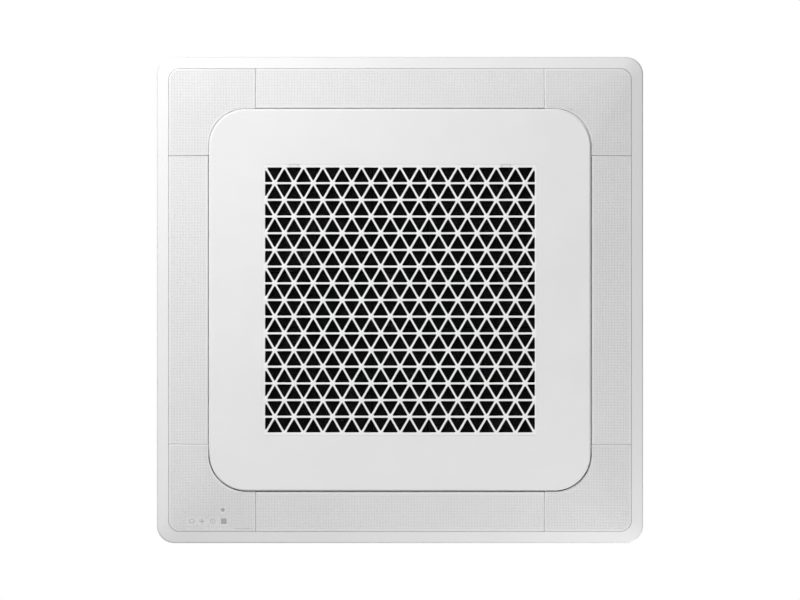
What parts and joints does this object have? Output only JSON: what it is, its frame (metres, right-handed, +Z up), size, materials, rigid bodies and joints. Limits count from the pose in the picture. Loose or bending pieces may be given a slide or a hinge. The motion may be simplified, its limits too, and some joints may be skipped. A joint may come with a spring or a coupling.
{
  "type": "ceiling cassette air conditioner",
  "caption": "Square ceiling cassette air conditioner: cabinet with fan, coil and drain, and a white panel with perforated outlet blades, corner covers and a swing-down triangle-lattice grille.",
  "frame": {"origin": "centre of the hanger bolts' square, on the upper face of the hanger lugs, on the fan's axis", "axes": "+Z up into the ceiling void, +X towards the pipe side, +Y towards the grille's hinge side"},
  "size_m": [0.95, 0.95, 0.2967],
  "materials": {
    "cabinet_steel": "hot-dip galvanised sheet",
    "bracket_steel": "galvanised plate",
    "liner_foam": "closed-cell foam",
    "motor_paint": "satin",
    "shaft_steel": "ground",
    "rubber_black": "matt",
    "screw_zinc": "zinc plated",
    "fan_plastic": "moulded",
    "mouth_plastic": "moulded",
    "coil_aluminium": "thin sheet, edges showing",
    "coil_copper": "drawn copper",
    "sheet_steel": "galvanised",
    "flare_brass": "turned brass",
    "pan_foam": "moulded foam",
    "pump_plastic": "moulded",
    "float_plastic": "moulded",
    "hose_rubber": "matt",
    "port_plastic": "moulded",
    "box_steel": "galvanised",
    "board_green": "solder resist",
    "terminal_plastic": "moulded",
    "panel_white": "satin white",
    "cover_white": "satin white with fine perforation",
    "blade_white": "satin white with fine perforation",
    "plate_white": "satin white",
    "lattice_white": "satin white",
    "latch_white": "satin white",
    "gasket_foam": "closed-cell foam",
    "motor_plastic": "moulded",
    "bush_plastic": "self-lubricating plastic",
    "lens_grey": "translucent",
    "filter_black": "moulded",
    "net_black": "fine woven net",
    "pin_steel": "drawn"
  },
  "bodies": {
    "unit": {"cabinet_shell": "cabinet_steel", "top_plate": "cabinet_steel", "insulation_liner": "liner_foam", "hanger_bracket_1": "bracket_steel", "hanger_bracket_2": "bracket_steel", "hanger_bracket_3": "bracket_steel", "hanger_bracket_4": "bracket_steel", "bracket_screws": "screw_zinc", "fan_motor": "motor_paint", "motor_mounts": "rubber_black", "motor_bolts": "screw_zinc", "bell_mouth": "mouth_plastic", "evaporator_fins": "coil_aluminium", "evaporator_tubes": "coil_copper", "tube_sheets": "sheet_steel", "gas_pipe": "coil_copper", "liquid_pipe": "coil_copper", "gas_flare_nut": "flare_brass", "liquid_flare_nut": "flare_brass", "drain_pan": "pan_foam", "drain_pump": "pump_plastic", "float_stem": "float_plastic", "drain_hose": "hose_rubber", "drain_port": "port_plastic", "control_box": "box_steel", "control_box_cover": "box_steel", "control_board": "board_green", "terminal_block": "terminal_plastic", "control_box_screws": "screw_zinc", "cable_grommet": "rubber_black", "panel_frame": "panel_white", "panel_gasket": "gasket_foam", "panel_screws": "screw_zinc", "blade_motor_front": "motor_plastic", "blade_motor_left": "motor_plastic", "blade_motor_rear": "motor_plastic", "blade_motor_right": "motor_plastic", "blade_bushes": "bush_plastic"},
    "rotor": {"motor_shaft": "shaft_steel", "turbo_fan": "fan_plastic", "fan_nut": "screw_zinc"},
    "impeller": {"pump_impeller": "pump_plastic"},
    "float": {"float_ring": "float_plastic"},
    "front_blade": {"blade_front": "blade_white"},
    "right_blade": {"blade_right": "blade_white"},
    "rear_blade": {"blade_rear": "blade_white"},
    "left_blade": {"blade_left": "blade_white"},
    "front_left_cover": {"corner_cover_front_left": "cover_white"},
    "front_right_cover": {"corner_cover_front_right": "cover_white"},
    "rear_right_cover": {"corner_cover_rear_right": "cover_white"},
    "rear_left_cover": {"corner_cover_rear_left": "cover_white", "display_board": "board_green", "indicator_lenses": "lens_grey"},
    "grille": {"intake_grille": "plate_white", "grille_lattice": "lattice_white", "hinge_pins": "pin_steel"},
    "filter": {"filter_frame": "filter_black", "filter_mesh": "net_black"},
    "left_latch": {"latch_left": "latch_white"},
    "right_latch": {"latch_right": "latch_white"}
  },
  "joints": [
    {"name": "fan_spin", "type": "hinge", "parent": "unit", "child": "rotor", "pos_m": [0, 0, 0], "axis": [0, 0, 1], "continuous": true},
    {"name": "pump_spin", "type": "hinge", "parent": "unit", "child": "impeller", "pos_m": [0.3, -0.29, -0.1], "axis": [0, 0, 1], "continuous": true},
    {"name": "float_lift", "type": "slide", "parent": "unit", "child": "float", "axis": [0, 0, 1], "range_m": [0, 0.012]},
    {"name": "front_blade_tilt", "type": "hinge", "parent": "unit", "child": "front_blade", "pos_m": [0, -0.4, -0.159], "axis": [1, 0, 0], "range_deg": [0, 60]},
    {"name": "right_blade_tilt", "type": "hinge", "parent": "unit", "child": "right_blade", "pos_m": [0.4, 0, -0.159], "axis": [0, 1, 0], "range_deg": [0, 60]},
    {"name": "rear_blade_tilt", "type": "hinge", "parent": "unit", "child": "rear_blade", "pos_m": [0, 0.4, -0.159], "axis": [-1, 0, 0], "range_deg": [0, 60]},
    {"name": "left_blade_tilt", "type": "hinge", "parent": "unit", "child": "left_blade", "pos_m": [-0.4, 0, -0.159], "axis": [0, -1, 0], "range_deg": [0, 60]},
    {"name": "front_left_cover_drop", "type": "slide", "parent": "unit", "child": "front_left_cover", "axis": [0, 0, -1], "range_m": [0, 0.004]},
    {"name": "front_right_cover_drop", "type": "slide", "parent": "unit", "child": "front_right_cover", "axis": [0, 0, -1], "range_m": [0, 0.004]},
    {"name": "rear_right_cover_drop", "type": "slide", "parent": "unit", "child": "rear_right_cover", "axis": [0, 0, -1], "range_m": [0, 0.004]},
    {"name": "rear_left_cover_drop", "type": "slide", "parent": "unit", "child": "rear_left_cover", "axis": [0, 0, -1], "range_m": [0, 0.004]},
    {"name": "grille_swing", "type": "hinge", "parent": "unit", "child": "grille", "pos_m": [0, 0.36, -0.173], "axis": [1, 0, 0], "range_deg": [0, 45]},
    {"name": "filter_slide", "type": "slide", "parent": "grille", "child": "filter", "axis": [0, 1, 0], "range_m": [0, 0.012]},
    {"name": "left_latch_slide", "type": "slide", "parent": "grille", "child": "left_latch", "axis": [0, 1, 0], "range_m": [0, 0.006], "stiffness_N_per_m": 500, "springref_m": -0.002},
    {"name": "right_latch_slide", "type": "slide", "parent": "grille", "child": "right_latch", "axis": [0, 1, 0], "range_m": [0, 0.006], "stiffness_N_per_m": 500, "springref_m": -0.002}
  ]
}
